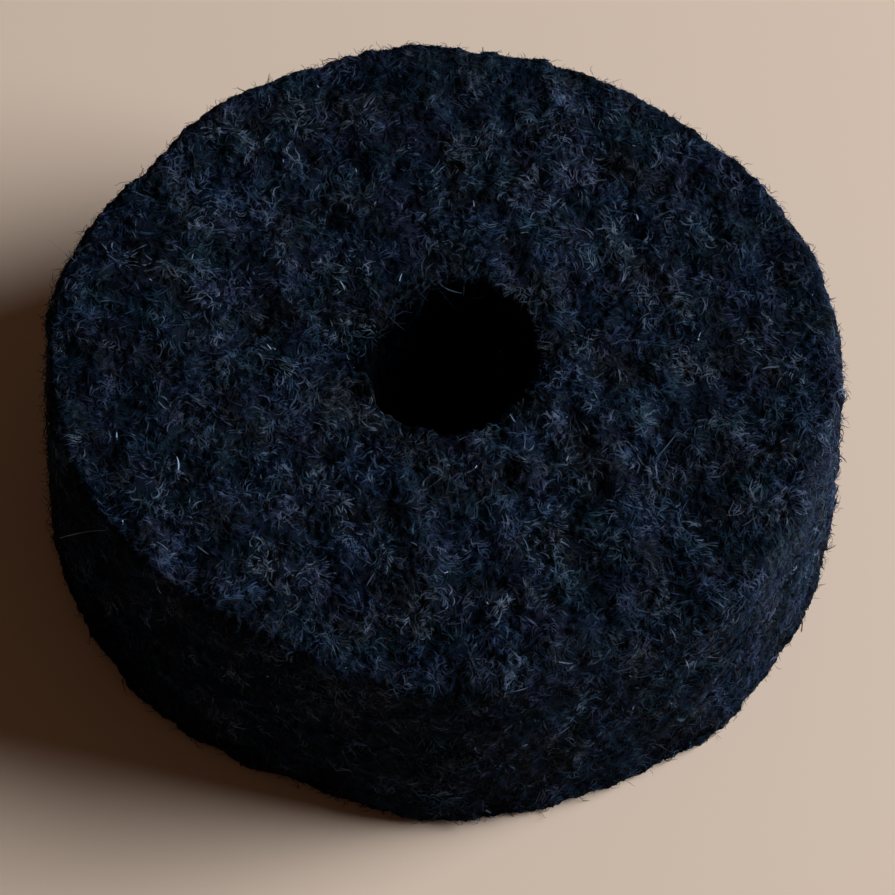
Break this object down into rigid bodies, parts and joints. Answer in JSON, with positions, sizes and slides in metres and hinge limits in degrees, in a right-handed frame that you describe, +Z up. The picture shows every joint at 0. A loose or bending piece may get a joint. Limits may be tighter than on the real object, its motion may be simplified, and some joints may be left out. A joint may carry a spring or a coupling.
{
  "type": "felt polishing wheel",
  "caption": "Thick round disc of dark pressed wool felt with a plain spindle hole through its middle, for polishing and buffing.",
  "frame": {"origin": "centre of the underside, where the disc rests", "axes": "+Z up the spindle hole; the disc is round about Z, and X and Y lie in its underside"},
  "size_m": [0.04, 0.04, 0.0125],
  "materials": {
    "felt": "matte, fuzzy pressed wool"
  },
  "bodies": {
    "root": {"felt_disc": "felt"}
  },
  "joints": []
}
